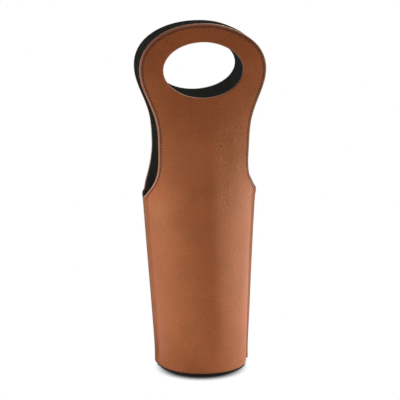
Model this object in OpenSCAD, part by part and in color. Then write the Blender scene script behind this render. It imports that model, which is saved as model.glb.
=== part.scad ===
// Bottle carrier: two keyhole panels sewn together into a tube that stands on a round base.
// X runs across the width, the front faces -Y and Z points up. The origin is the centre of the
// base's underside. Each panel is a laminate of an outer skin, a stiffener and a lining. It is
// drawn from its flat pattern: a point lies at a distance along the panel's curve and at a height,
// and each layer lies at its own offset from the panel's inner face.

/* [Overall] */
// Height from the floor to the top of the handles
height = 400; // [370:1:430]
// Outside diameter of the tube at the base
base_d = 100; // [92:1:108]
// Height of the corners where the side seams end and the arm openings start
seam_h = 200; // [180:1:215]

/* [Panel pattern] */
// Width of one panel at the seam corners, along its curve and without the seam fins
mouth_arc = 148; // [140:1:156]
// Angle through which a panel turns from its middle to its seam at the corners
mouth_turn = 64; // [56:1:70]
// Width of the flat fin along each side seam
fin_w = 6; // [4:0.5:7]
// Height by which the lower corner of each fin is cut back
fin_cut = 4; // [2:0.5:6]
// Width of a panel at its waist, along its curve
waist_w = 106; // [94:1:118]
// Place of the waist on the way from the seam corners (0) to the top of the handles (1)
waist_share = 0.31; // [0.27:0.01:0.36]
// Width of the handle ring, along its curve
ring_w = 145; // [136:1:156]
// Width of the hand hole, along the panel's curve
hole_w = 91; // [76:1:98]
// Height of the hand hole
hole_h = 61; // [50:1:66]
// Depth of the handle's band above the hand hole
band_h = 20.5; // [16:0.5:26]
// Distance between the inner faces of the two handles at the very top
top_gap = 28; // [20:1:40]

/* [Laminate] */
// Thickness of the outer skin
skin_t = 0.9; // [0.6:0.1:1.4]
// Thickness of the bonded stiffener
core_t = 1.1; // [0.8:0.1:2]
// Thickness of the lining
lining_t = 0.6; // [0.4:0.1:1]

/* [Base] */
// Thickness of the sole, which carries the hem clear of the floor
foot_h = 2; // [1.5:0.1:3]
// How far the sole's edge stays inside the tube's outer face
sole_inset = 0.7; // [0.4:0.1:1.2]
// Bevel round the sole's lower edge
sole_bevel = 0.5; // [0.3:0.1:0.8]
// Thickness of the base cover's upright rim
rim_t = 1; // [0.8:0.1:1.6]
// Height of the rim inside the tube
rim_h = 14; // [10:1:20]
// Thickness of the base board
board_t = 2.5; // [2:0.1:4]
// Thickness of the disc of lining on the board
floor_t = 0.8; // [0.5:0.1:1.2]

/* [Flex line] */
// Radius of the round joint face across the waist, where a handle bends
flex_r = 12; // [10:0.5:15]
// Gap between the two faces of that joint
flex_gap = 0.4; // [0.3:0.05:0.6]
// Gap between the base pieces and the tube round them
seat_gap = 0.3; // [0.2:0.05:0.4]

/* [Hidden] */

// Colours
SKIN = [0.52, 0.29, 0.17];
CORE = [0.42, 0.36, 0.31];
LINING = [0.11, 0.11, 0.11];
SOLE = [0.07, 0.07, 0.07];

// Offsets of the layer faces from the panel's inner face
core_in = lining_t;
core_out = lining_t + core_t;
wall_t = lining_t + core_t + skin_t;

// Base
tube_r = base_d / 2 - wall_t;
sole_r = base_d / 2 - sole_inset;
rim_r = tube_r - seat_gap;
board_r = rim_r - rim_t - seat_gap;
round_h = foot_h + rim_h;

// Height of the waist, and of the hand hole's middle, where the ring is widest
waist_h = seam_h + (height - seam_h) * waist_share;
ring_h = height - band_h - hole_h / 2;

// Pattern: exponents that shape the outline and the way the curve opens towards the top
rise_power = 1.3;
ring_fullness = 2.1;
flank_power = 4;
armhole_power = 2.2;
bow_power = 1.4;
// Least bend of a panel, per millimetre, so that its formula also serves where it is flat
flat_bend = 0.000001;
// Height over which the fin's bend dies out above the seam, in widths of the fin
fade_share = 2.5;

// Counts of the grid: cells round half a panel, rows, rings round the hand hole
arc_cells = 11;
tube_rows = 6;
armhole_row_shares = [0.1, 0.22, 0.38, 0.56, 0.78];
flank_cells = 8;
dome_cells = 18;
waist_cells = 10;
ring_cells = 3;
// Angle below the hand hole's middle at which the flanks' grid lines meet the hole
flank_turn = 52;

mouth_bend = mouth_turn * PI / 180 / (mouth_arc / 2);
mouth_depth = (1 - cos(mouth_turn)) / mouth_bend;

function clamp(v) = max(0, min(1, v));
function degrees(radians) = radians * 180 / PI;

// Share of the way from the round base to the lens-shaped mouth, and from there to the top
function rise(z) = pow(clamp((z - round_h) / (seam_h - round_h)), rise_power);
function climb(z) = clamp((z - seam_h) / (height - seam_h));

// Half width of a panel above the seam corners, along its curve and fin included
function flank_drop(z) = (ring_h - z) / (ring_h - waist_h);
function armhole_drop(z) = (waist_h - z) / (waist_h - seam_h);
function free_half(z) =
    z > waist_h
    ? waist_w / 2 + (ring_w - waist_w) / 2 * pow(1 - pow(flank_drop(z), 2), flank_power)
    : waist_w / 2 + (mouth_arc / 2 + fin_w - waist_w / 2) * pow(armhole_drop(z), armhole_power);

// Half width of the curved stretch of a panel at any height, without its fin
function arc_half(z) =
    z > seam_h
    ? free_half(z) - fin_w
    : tube_r * PI / 2 + (mouth_arc / 2 - tube_r * PI / 2) * rise(z);

// Bend of a panel, per millimetre, and distance of its middle from the carrier's middle plane
function seam_turn(z) = 90 + (mouth_turn - 90) * rise(z);
function bend(z) =
    z > seam_h
    ? max(flat_bend, mouth_bend * pow(1 - climb(z), bow_power))
    : seam_turn(z) * PI / 180 / arc_half(z);
function depth(z) =
    z > seam_h
    ? top_gap / 2 + (mouth_depth - top_gap / 2) * cos(90 * climb(z))
    : (1 - cos(seam_turn(z))) / bend(z);

// Point of the front panel at distance s along its curve, height z and offset d outwards
function on_panel(s, z, d) =
    let (k = bend(z), turn = degrees(k * s))
    [sin(turn) / k + d * sin(turn), -depth(z) + (1 - cos(turn)) / k - d * cos(turn), z];

// The fin leaves the curve at its end and points straight out; above the seam it straightens
function fin_hold(z) = clamp(1 - (z - seam_h) / (fade_share * fin_w));
function fin_turn(z) = degrees(bend(z) * arc_half(z)) * (1 - fin_hold(z));
function fin_root(z, d) =
    let (a = degrees(bend(z) * arc_half(z)), b = fin_turn(z), p = on_panel(arc_half(z), z, 0))
    let (m = d / (1 + cos(a - b)))
    [p.x + m * (sin(a) + sin(b)), p.y - m * (cos(a) + cos(b)), z];
function fin_tip(z, d) =
    let (b = fin_turn(z), p = fin_root(z, 0))
    [p.x + fin_w * cos(b) + d * sin(b), p.y + fin_w * sin(b) - d * cos(b), z];
function mirror_x(p, side) = [side * p.x, p.y, p.z];

// Column i of the lower grid, from the left fin's tip to the right one's
function lower_point(i, z, d) =
    let (n = abs(i), side = i < 0 ? -1 : 1)
    n > arc_cells ? mirror_x(fin_tip(z, d), side)
    : n == arc_cells ? mirror_x(fin_root(z, d), side)
    : on_panel(arc_half(z) * i / arc_cells, z, d);

// Bend line of a handle: a straight axis across the waist at the middle of the panel's bow
waist_bow = (1 - cos(degrees(bend(waist_h) * waist_w / 2))) / bend(waist_h);
flex_y = -depth(waist_h) + (waist_bow - wall_t) / 2;
function flex_drop(y, r) = waist_h - sqrt(r * r - pow(y - flex_y, 2));
// Height at which the round joint face of radius r cuts a share of the panel's width
function flex_cut(share, d, r, z, steps) =
    steps == 0 ? z
    : flex_cut(share, d, r, flex_drop(on_panel(share * free_half(z), z, d).y, r), steps - 1);
function flex_z(share, d, r) = flex_cut(share, d, r, waist_h - r, 4);

// Rows of the lower grid: the hem, the round foot, the tube and the arm opening's curve
function column_share(i, z) =
    abs(i) > arc_cells ? sign(i) : arc_half(z) * i / arc_cells / free_half(z);
function lower_top(i, d) =
    let (z = waist_h - flex_r)
    flex_z(column_share(i, z), d, flex_r + flex_gap / 2);
function lower_row(j, i, d) =
    j == 0 ? foot_h + (abs(i) > arc_cells ? fin_cut : 0)
    : j <= tube_rows ? round_h + (seam_h - round_h) * (j - 1) / (tube_rows - 1)
    : j <= tube_rows + len(armhole_row_shares)
    ? seam_h + (lower_top(i, d) - seam_h) * armhole_row_shares[j - tube_rows - 1]
    : lower_top(i, d);
function lower_grid(d) = [
    for (j = [0 : tube_rows + len(armhole_row_shares) + 1])
        for (i = [-arc_cells - 1 : arc_cells + 1])
            lower_point(i, lower_row(j, i, d), d)
];

// Outline of the handle as pairs of share of the width and height, counter-clockwise
function power_wave(v, n) = sign(v) * pow(abs(v), 2 / n);
function flank_point(t, side, d) =
    let (z = flex_z(1, d, flex_r - flex_gap / 2) * (1 - t) + ring_h * t)
    [side * free_half(z), z];
function dome_point(a) = [
    ring_w / 2 * power_wave(cos(a), ring_fullness),
    ring_h + (height - ring_h) * power_wave(sin(a), ring_fullness)
];
function waist_point(t, d) =
    let (z = flex_z(t, d, flex_r - flex_gap / 2))
    [t * free_half(z), z];
function outline(d) = [
    for (i = [0 : flank_cells]) flank_point(i / flank_cells, 1, d),
    for (i = [1 : dome_cells - 1]) dome_point(180 * i / dome_cells),
    for (i = [0 : flank_cells]) flank_point(1 - i / flank_cells, -1, d),
    for (i = [1 : waist_cells - 1]) waist_point(2 * i / waist_cells - 1, d),
];
// Angles round the hand hole that go with those points
hole_turns = [
    for (i = [0 : flank_cells]) flank_turn * (i / flank_cells - 1),
    for (i = [1 : dome_cells - 1]) 180 * i / dome_cells,
    for (i = [0 : flank_cells]) 180 + flank_turn * i / flank_cells,
    for (i = [1 : waist_cells - 1]) 180 + flank_turn + (180 - 2 * flank_turn) * i / waist_cells,
];
function hole_point(a) = [hole_w / 2 * cos(a), ring_h + hole_h / 2 * sin(a)];
function upper_grid(d) =
    let (edge = outline(d))
    [
        for (j = [0 : ring_cells])
            for (i = [0 : len(edge) - 1])
                let (p = hole_point(hole_turns[i]) * (1 - j / ring_cells) + edge[i] * j / ring_cells)
                on_panel(p.x, p.y, d)
    ];

// Two triangles for the four corners a, b, c, d, listed clockwise as seen from outside
function pair(a, b, c, d) = [[a, b, c], [a, c, d]];
function flipped(faces) = [for (f = faces) [f[2], f[1], f[0]]];
function joined(lists) = [for (l = lists) for (f = l) f];
function sheet_faces(rows, cols, start, wrap) = joined([
    for (j = [0 : rows - 2])
        for (i = [0 : cols - (wrap ? 1 : 2)])
            let (n = (i + 1) % cols, a = start + j * cols, b = a + cols)
            pair(a + i, b + i, b + n, a + n)
]);
// Side wall between two sheets along a run of point numbers
function edge_faces(run, shift) = joined([
    for (i = [0 : len(run) - 2])
        pair(run[i], run[i] + shift, run[i + 1] + shift, run[i + 1])
]);

// Layer of the lower half: an open grid with its four edges closed
module lower_layer(d_in, d_out) {
    cols = 2 * arc_cells + 3;
    rows = tube_rows + len(armhole_row_shares) + 2;
    count = rows * cols;
    rim = [
        for (i = [0 : cols - 1]) i,
        for (j = [1 : rows - 1]) j * cols + cols - 1,
        for (i = [1 : cols - 1]) count - 1 - i,
        for (j = [1 : rows - 1]) (rows - 1 - j) * cols,
    ];
    polyhedron(
        points = concat(lower_grid(d_in), lower_grid(d_out)),
        faces = concat(
            flipped(sheet_faces(rows, cols, 0, false)),
            sheet_faces(rows, cols, count, false),
            edge_faces(rim, count)
        )
    );
}

// Layer of a handle: a closed grid from the hand hole to the outline
module upper_layer(d_in, d_out) {
    cols = len(hole_turns);
    rows = ring_cells + 1;
    count = rows * cols;
    hole = [for (i = [0 : cols]) i % cols];
    outer = [for (i = [0 : cols]) (rows - 1) * cols + i % cols];
    polyhedron(
        points = concat(upper_grid(d_in), upper_grid(d_out)),
        faces = concat(
            flipped(sheet_faces(rows, cols, 0, true)),
            sheet_faces(rows, cols, count, true),
            edge_faces(hole, count),
            flipped(edge_faces(outer, count))
        )
    );
}

// The back is the front seen in a mirror
module back() {
    mirror([0, 1, 0]) children();
}

// Sole and upright rim in one piece
module base_cover() {
    color(SOLE)
    rotate_extrude($fn = 96)
    polygon([
        [0, 0],
        [sole_r - sole_bevel, 0],
        [sole_r, sole_bevel],
        [sole_r, foot_h],
        [rim_r, foot_h],
        [rim_r, round_h],
        [rim_r - rim_t, round_h],
        [rim_r - rim_t, foot_h],
        [0, foot_h],
    ]);
}

// Stiff disc on the sole
module base_board() {
    color(CORE) translate([0, 0, foot_h]) cylinder(r = board_r, h = board_t, $fn = 96);
}

// Disc of lining on the board
module base_lining() {
    color(LINING) translate([0, 0, foot_h + board_t]) cylinder(r = board_r, h = floor_t, $fn = 96);
}

module front_skin_lower() { color(SKIN) lower_layer(core_out, wall_t); }
module front_core_lower() { color(CORE) lower_layer(core_in, core_out); }
module front_lining_lower() { color(LINING) lower_layer(0, core_in); }
module back_skin_lower() { color(SKIN) back() lower_layer(core_out, wall_t); }
module back_core_lower() { color(CORE) back() lower_layer(core_in, core_out); }
module back_lining_lower() { color(LINING) back() lower_layer(0, core_in); }
module front_skin_upper() { color(SKIN) upper_layer(core_out, wall_t); }
module front_core_upper() { color(CORE) upper_layer(core_in, core_out); }
module front_lining_upper() { color(LINING) upper_layer(0, core_in); }
module back_skin_upper() { color(SKIN) back() upper_layer(core_out, wall_t); }
module back_core_upper() { color(CORE) back() upper_layer(core_in, core_out); }
module back_lining_upper() { color(LINING) back() upper_layer(0, core_in); }

base_cover();
base_board();
base_lining();
front_skin_lower();
front_core_lower();
front_lining_lower();
back_skin_lower();
back_core_lower();
back_lining_lower();
front_skin_upper();
front_core_upper();
front_lining_upper();
back_skin_upper();
back_core_upper();
back_lining_upper();
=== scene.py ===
"""Bottle carrier: two keyhole panels sewn into a tube on a round base.

Sizes are metres. X runs across the width, the front faces -Y and Z points up, and the origin is the
centre of the base's underside. A panel is drawn in its flat pattern, where a point has a distance s
from the panel's middle, along its curve, and a height z. The pattern is then bowed into its place.
"""

import logging
import math
from collections.abc import Callable
from dataclasses import dataclass, field
from enum import Enum

import bmesh
import bpy
import numpy as np
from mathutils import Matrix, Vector


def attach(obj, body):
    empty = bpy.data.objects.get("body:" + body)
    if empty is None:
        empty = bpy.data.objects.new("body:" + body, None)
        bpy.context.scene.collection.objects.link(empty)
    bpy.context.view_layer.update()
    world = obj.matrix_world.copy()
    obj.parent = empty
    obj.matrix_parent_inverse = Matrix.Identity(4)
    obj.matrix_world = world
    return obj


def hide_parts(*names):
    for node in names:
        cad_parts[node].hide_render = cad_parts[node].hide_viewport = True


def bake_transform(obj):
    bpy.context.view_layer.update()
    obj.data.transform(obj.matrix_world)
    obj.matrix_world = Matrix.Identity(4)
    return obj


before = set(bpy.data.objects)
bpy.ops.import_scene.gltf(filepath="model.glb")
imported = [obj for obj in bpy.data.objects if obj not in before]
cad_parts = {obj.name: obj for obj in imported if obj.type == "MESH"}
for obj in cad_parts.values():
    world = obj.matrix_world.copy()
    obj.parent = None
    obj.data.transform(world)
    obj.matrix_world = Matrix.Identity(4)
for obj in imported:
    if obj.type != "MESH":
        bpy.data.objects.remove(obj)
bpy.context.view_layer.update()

LOG = logging.getLogger("carrier")
MM = 0.001

# Distances from the cut edge and from the hand hole at which a panel's grid has lines
BORDER = MM * np.array(
    [0, 0.15, 0.4, 0.8, 1.3, 1.9, 2.4, 2.8, 3.1, 3.4, 3.8]
    + [4.2, 4.6, 5.0, 5.4, 5.8, 6.2, 6.7, 7.2, 7.8, 8.5, 9.4]
)
HOLE_BORDER = MM * np.array([0, 0.12, 0.35, 0.7, 1.2, 2.0, 3.2])
# Distance given to points that lie far from every edge
FAR = 0.010
# Factors that carry a flat point to the panel's other half
MIRROR = np.array([-1.0, 1.0])
# Steps of a metre that flat points are rounded to, to find the ones that are the same
STEPS_PER_METRE = 1e8
# Least value to divide by
TINY = 1e-9

Color = tuple[float, float, float, float]
WHITE: Color = (1, 1, 1, 1)
Point = tuple[float, float, float]
# Two values between which something eases in. Where the first is the greater, it eases in downwards
Span = tuple[float, float]
# A span, and the levels at its start and end
Ramp = tuple[float, float, float, float]
# A wave's turns across and up in radians a metre, its shift, and its share of a phase
Wave = tuple[float, float, float, float]
Socket = bpy.types.NodeSocket
# Function from flat points and heights above a surface to points in space
Placer = Callable[[np.ndarray, np.ndarray], np.ndarray]


class Side(Enum):
    """Which of the two panels a piece belongs to."""

    FRONT = "front"
    BACK = "back"

    @property
    def handle(self) -> str:
        """Name of the body that the panel's handle rides on."""
        return f"{self.value}_handle"

    @property
    def facing(self) -> float:
        """Direction along Y in which the panel's outer face looks."""
        return -1.0 if self is Side.FRONT else 1.0


class Layer(Enum):
    """Layers of the laminate, with the record's material slot of each."""

    SKIN = "leatherette"
    CORE = "bonded_board"
    LINING = "black_lining"

    @property
    def label(self) -> str:
        """Word for the layer in the names of its nodes and pieces."""
        return self.name.lower()


def ease(x: np.ndarray, start: float, end: float) -> np.ndarray:
    """Ease from 0 at the start to 1 at the end: three t squared less two t cubed, level beyond both."""
    t = np.clip((x - start) / (end - start), 0.0, 1.0)
    return t * t * (3.0 - 2.0 * t)


def soft_ramp(x: np.ndarray, width: float) -> np.ndarray:
    """Straight rise from 0 to 1 with eased ends: a clipped line averaged over a window.

    Args:
        x: Places, where the line rises from 0 to 1.
        width: Width of the window.

    Returns:
        The line's mean round each place.
    """

    def area(t: np.ndarray) -> np.ndarray:
        """Area under the clipped line up to t."""
        return np.where(t < 0, 0.0, np.where(t < 1, t * t / 2, t - 0.5))

    return (area(x + width / 2) - area(x - width / 2)) / width


def grid_quads(rows: int, cols: int, start: int = 0, wrap: bool = False) -> np.ndarray:
    """Quads of a grid whose points are stored row by row.

    Args:
        rows: Number of rows of points.
        cols: Number of points in a row.
        start: Number of the grid's first point.
        wrap: Whether the last column joins the first.

    Returns:
        Array of four point numbers a quad, counter-clockwise where columns run right and rows up.
    """
    j, i = np.meshgrid(np.arange(rows - 1), np.arange(cols if wrap else cols - 1), indexing="ij")
    right = (i + 1) % cols
    corners = (j * cols + i, j * cols + right, (j + 1) * cols + right, (j + 1) * cols + i)
    return start + np.stack(corners, axis=-1).reshape(-1, 4)


def running_length(line: np.ndarray) -> np.ndarray:
    """Distance of each point of a line from its first, along the line."""
    return np.concatenate([[0], np.cumsum(np.linalg.norm(np.diff(line, axis=0), axis=1))])


def sample(line: np.ndarray, length: np.ndarray, at: np.ndarray) -> np.ndarray:
    """Points of a line at distances along it, by straight interpolation."""
    return np.stack([np.interp(at, length, line[:, k]) for k in range(line.shape[1])], axis=1)


def build_piece(
    name: str,
    points: np.ndarray,
    faces: np.ndarray,
    uv: np.ndarray,
    marks: dict[str, np.ndarray] | None = None,
    sharp: float = 38.0,
) -> bpy.types.Object:
    """Make an object from arrays, smooth but for edges that turn by more than an angle.

    Args:
        name: Name of the object.
        points: One row of x, y, z a vertex.
        faces: One row of vertex numbers a face, all with as many corners.
        uv: One pair a vertex, for a UV map called pattern.
        marks: Named values a vertex, kept as attributes for the materials.
        sharp: Angle in degrees between two faces above which their shared edge is sharp.

    Returns:
        The object, at the origin, in the scene.
    """
    mesh = bpy.data.meshes.new(name)
    count, corners = faces.shape
    mesh.vertices.add(len(points))
    mesh.vertices.foreach_set("co", np.ascontiguousarray(points, np.float32).ravel())
    mesh.loops.add(count * corners)
    mesh.loops.foreach_set("vertex_index", faces.astype(np.int32).ravel())
    mesh.polygons.add(count)
    mesh.polygons.foreach_set("loop_start", np.arange(0, count * corners, corners, dtype=np.int32))
    mesh.update(calc_edges=True)
    mesh.validate()
    uv_map = mesh.uv_layers.new(name="pattern")
    uv_map.data.foreach_set("uv", uv[faces.ravel()].astype(np.float32).ravel())
    for key, values in (marks or {}).items():
        mesh.attributes.new(key, "FLOAT", "POINT").data.foreach_set("value", values.astype(np.float32))
    mesh.shade_smooth()
    mesh.set_sharp_from_angle(angle=math.radians(sharp))
    thing = bpy.data.objects.new(name, mesh)
    bpy.context.scene.collection.objects.link(thing)
    return thing


@dataclass(frozen=True)
class FlatGrid:
    """Quads in the flat pattern, with what the layers and materials need to know of each point.

    That is its distance from the cut edge, its distance from the hand hole's rim, and how many
    stitches of the row lie below it.
    """

    points: np.ndarray
    edge: np.ndarray
    rim: np.ndarray
    stitch: np.ndarray
    quads: np.ndarray

    @classmethod
    def merged(cls, rows: np.ndarray, dome: np.ndarray, rings: np.ndarray) -> "FlatGrid":
        """Join a panel's three blocks and merge the points that they share.

        Each block is an array of rows by columns by five: s, z, and a point's three other values.

        Args:
            rows: Block from the hem up to where the rows end.
            dome: Block that follows the outline over the top.
            rings: Block from the hand hole out to the other two, whose last column joins its first.

        Returns:
            The flat grid, with all quads counter-clockwise.
        """
        blocks = (rows, dome, rings)
        sizes = [block.shape[:2] for block in blocks]
        starts = np.cumsum([high * wide for high, wide in sizes])
        quads = [grid_quads(*sizes[0])]
        quads.append(grid_quads(*sizes[1], starts[0])[:, ::-1])
        quads.append(grid_quads(*sizes[2], starts[1], wrap=True)[:, ::-1])
        table = np.concatenate([block.reshape(-1, block.shape[2]) for block in blocks])
        keys = np.round(table[:, :2] * STEPS_PER_METRE).astype(np.int64)
        _, keep, number = np.unique(keys, axis=0, return_index=True, return_inverse=True)
        edge, rim, stitch = table[keep, 2:].T
        return cls(table[keep, :2], edge, rim, stitch, number.reshape(-1)[np.concatenate(quads)])

    @property
    def area(self) -> float:
        """Area of the pattern: half the cross product of each quad's diagonals, summed.

        Returns:
            Square metres.
        """
        p = self.points[self.quads]
        a, b = p[:, 2] - p[:, 0], p[:, 3] - p[:, 1]
        return float(np.sum(a[:, 0] * b[:, 1] - a[:, 1] * b[:, 0]) / 2)


@dataclass(frozen=True)
class PanelPattern:
    """Outline of one keyhole panel laid flat, fins included."""

    height: float = 0.400
    hem_z: float = 0.002
    # The tube is round up to a height and opens to a lens at the seam's end, with this curve and heading
    round_z: float = 0.016
    tube_r: float = 0.0489
    seam_h: float = 0.200
    mouth_arc: float = 0.1475
    mouth_turn: float = math.radians(64)
    rise_power: float = 1.3
    fin_w: float = 0.006
    # Waist: its width, and its share of the way from the seam corners to the top
    waist_w: float = 0.106
    waist_share: float = 0.31
    # Ring: its width, the hand hole's, the band over the hole, and the power of the superellipse
    ring_w: float = 0.145
    hole_w: float = 0.091
    hole_h: float = 0.061
    band_h: float = 0.0205
    ring_fullness: float = 2.1
    # Powers of the curves that lead down and up from the waist
    armhole_power: float = 2.2
    flank_power: float = 4.0
    # Softening of the seam corners, how many times it the mean reaches, and at how many heights
    corner_soft: float = 0.0010
    bell_reach: float = 3.0
    bell_points: int = 25
    # Radii of the hem's left and right corners
    left_hem_corner: float = 0.0042
    right_hem_corner: float = 0.0016
    # Row of stitches: distance from the cut edge, and distance from one stitch to the next
    stitch_in: float = 0.0034
    pitch: float = 0.0033
    # Size of a cell of the grid, that of the smaller ones at the seam corners, and how far these reach
    cell: float = 0.0017
    fine_cell: float = 0.0006
    fine_reach: float = 0.008
    # Height at which the rows end, and steps of the rings between them and the hand hole
    turn_h: float = 0.2915
    ring_steps: int = 12
    # Points of the exact side and dome, and of the even outline that is drawn through them
    side_points: int = 4000
    dome_points: int = 2000
    outline_points: int = 3001
    # Softening of an inner line's normals: share of the inset, and least width and reach in points
    normal_soft_share: float = 0.75
    least_soft: float = 0.3
    soft_reach: int = 150

    @property
    def waist_h(self) -> float:
        """Height of the narrowest place."""
        return self.seam_h + (self.height - self.seam_h) * self.waist_share

    @property
    def ring_h(self) -> float:
        """Height of the hand hole's middle, where the ring is widest."""
        return self.height - self.band_h - self.hole_h / 2

    def rise(self, z: np.ndarray) -> np.ndarray:
        """Share of the way from the round foot to the lens-shaped mouth."""
        return np.clip((z - self.round_z) / (self.seam_h - self.round_z), 0, 1) ** self.rise_power

    def climb(self, z: np.ndarray) -> np.ndarray:
        """Share of the way from the seam corners to the top."""
        return np.clip((z - self.seam_h) / (self.height - self.seam_h), 0, 1)

    def arc_half(self, z: np.ndarray) -> np.ndarray:
        """Half length of a panel's curve between its fins."""
        foot = self.tube_r * math.pi / 2
        return foot + (self.mouth_arc / 2 - foot) * self.rise(z)

    def sharp_half(self, z: np.ndarray) -> np.ndarray:
        """Half width with sharp seam corners.

        Up to the corners it is the curve and a fin. From there to the waist it closes in with a power
        of the drop to the waist, and above it swells to the ring with a power of one less a square.

        Args:
            z: Heights.

        Returns:
            Half width at each height.
        """
        waist, ring, narrow = self.waist_h, self.ring_h, self.waist_w / 2
        drop = np.clip((waist - z) / (waist - self.seam_h), 0, 1)
        arm = narrow + (self.mouth_arc / 2 + self.fin_w - narrow) * drop**self.armhole_power
        swell = 1 - np.clip((ring - z) / (ring - waist), 0, 1) ** 2
        flank = narrow + (self.ring_w - self.waist_w) / 2 * swell**self.flank_power
        return np.where(z < self.seam_h, self.arc_half(z) + self.fin_w, np.where(z < waist, arm, flank))

    def half_width(self, z: np.ndarray) -> np.ndarray:
        """Half width with its corners softened.

        It is a mean over nearby heights, weighted by a bell as wide as the softening.

        Args:
            z: Heights.

        Returns:
            Half width at each height.
        """
        reach = np.linspace(-self.bell_reach, self.bell_reach, self.bell_points)
        weight = np.exp(-0.5 * reach**2)
        shifted = self.sharp_half(z[:, None] + self.corner_soft * reach[None, :])
        return shifted @ (weight / weight.sum())

    def outline(self) -> tuple[np.ndarray, np.ndarray]:
        """Right half of the outline, from the hem's corner up to the top, in even small steps.

        The side is the half width against height, and the dome above it a superellipse.

        Returns:
            Points, and the distance of each along the outline.
        """
        z = np.linspace(self.hem_z, self.ring_h, self.side_points)
        side = np.stack([self.half_width(z), z], axis=1)
        angle = np.linspace(0, math.pi / 2, self.dome_points)[1:]
        power = 2 / self.ring_fullness
        across = self.ring_w / 2 * np.maximum(np.cos(angle), 0) ** power
        up = self.ring_h + (self.height - self.ring_h) * np.sin(angle) ** power
        dense = np.concatenate([side, np.stack([across, up], axis=1)])
        length = running_length(dense)
        even = np.linspace(0, length[-1], self.outline_points)
        return sample(dense, length, even), even

    def inner_line(self, inset: float) -> np.ndarray:
        """Right half of the line that follows the outline at a distance inside it.

        The outline's inward normals are averaged over a window that grows with the distance, so that
        the line keeps clear of itself at the seam corners. Below the hem they go on unchanged, and
        past the top they mirror.

        Args:
            inset: Distance from the cut edge.

        Returns:
            One point for each point of the outline.
        """
        points, length = self.outline()
        reach = self.soft_reach
        along = np.gradient(points, axis=0)
        along /= np.linalg.norm(along, axis=1, keepdims=True)
        along[-1] = (-1, 0)
        normals = np.stack([-along[:, 1], along[:, 0]], axis=1)
        below = np.repeat(normals[:1], reach, axis=0)
        past = normals[-2 : -2 - reach : -1] * MIRROR
        padded = np.concatenate([below, normals, past])
        sigma = max(self.normal_soft_share * inset / length[1], self.least_soft)
        weight = np.exp(-0.5 * (np.arange(-reach, reach + 1) / sigma) ** 2)
        weight /= weight.sum()
        soft = np.stack([np.convolve(padded[:, k], weight, mode="valid") for k in (0, 1)], axis=1)
        soft /= np.linalg.norm(soft, axis=1, keepdims=True)
        return points + inset * soft

    def stations(self) -> np.ndarray:
        """Distances along the outline at which the grid has lines.

        They lie at the border's distances from the hem. Beyond it their spacing is a cell, and falls
        to a fine cell at the seam corner in the shape of a bell.

        Returns:
            The distances, from the hem to the top.
        """
        points, length = self.outline()
        corner = np.interp(self.seam_h, points[:, 1], length)
        near = np.exp(-(((length - corner) / self.fine_reach) ** 2))
        density = 1 / (self.cell - (self.cell - self.fine_cell) * near)
        density[length < BORDER[-1]] = 0
        count = np.concatenate([[0], np.cumsum((density[1:] + density[:-1]) / 2 * np.diff(length))])
        marks = np.linspace(0, count[-1], int(round(count[-1])) + 1)
        return np.concatenate([BORDER, np.interp(marks[1:], count, length)])

    def seam_line(self) -> tuple[np.ndarray, np.ndarray]:
        """Right half of the stitch row's line, and its length counted in stitches.

        The count comes out whole at the top, so both halves of the row meet there.

        Returns:
            Points of the line, and the count of stitches up to each.
        """
        line = self.inner_line(self.stitch_in)
        length = running_length(line)
        return line, length / length[-1] * round(length[-1] / self.pitch)

    def round_hem_corners(self, rows: np.ndarray, side_in: np.ndarray, hem_in: np.ndarray) -> np.ndarray:
        """Draw the two lower corners of the row grid in to round ones.

        Inside the border's corner square, a point keeps its direction from the square's inner corner,
        and its distance shrinks by the ratio of the rounded outline to the square one.

        Args:
            rows: Points of the grid, rows by columns by two.
            side_in: Distance of each column from its side edge.
            hem_in: Distance of each row from the hem.

        Returns:
            The grid with its corners moved.
        """
        size = BORDER[-1]
        radius = np.where(rows[..., 0] < 0, self.left_hem_corner, self.right_hem_corner)
        out, down = np.meshgrid(np.clip(size - side_in, 0, size), np.clip(size - hem_in, 0, size))
        angle = np.arctan2(down, out)
        square = size / np.maximum(np.cos(angle), np.sin(angle))
        reach = (size - radius) * math.sqrt(2)
        turned = angle - math.pi / 4
        arc = reach * np.cos(turned) + np.sqrt(np.maximum(radius**2 - (reach * np.sin(turned)) ** 2, 0))
        steep = np.tan(angle)
        straight = size * np.minimum(steep, 1 / np.maximum(steep, TINY)) <= size - radius
        shrink = 1 - np.where(straight, 1.0, np.minimum(arc / square, 1.0))
        moved = rows.copy()
        moved[..., 0] -= np.sign(rows[..., 0]) * shrink * out
        moved[..., 1] += shrink * down
        return moved

    def rows_block(self, strip: np.ndarray, counts: np.ndarray) -> np.ndarray:
        """Rows across the panel: a strip along each side edge, and even cells between the two.

        Args:
            strip: Strip along the right edge, from the hem up, points by insets by two.
            counts: Stitches of the row up to each place of the strip.

        Returns:
            The block.
        """
        left = strip * MIRROR
        cells = int(round(2 * strip[0, -1, 0] / self.cell))
        share = (np.arange(1, cells) / cells)[None, :, None]
        middle = left[:, -1:] * (1 - share) + strip[:, -1:] * share
        points = np.concatenate([left, middle, strip[:, ::-1]], axis=1)
        side_in = np.concatenate([BORDER, np.full(cells - 1, FAR), BORDER[::-1]])
        hem_in = np.minimum(strip[:, 0, 1] - self.hem_z, FAR)
        edge = np.minimum(hem_in[:, None], side_in[None, :])
        stitch = np.broadcast_to(counts[:, None], edge.shape)
        points = self.round_hem_corners(points, side_in, hem_in)
        return np.dstack([points, edge, np.full(edge.shape, FAR), stitch])

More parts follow.
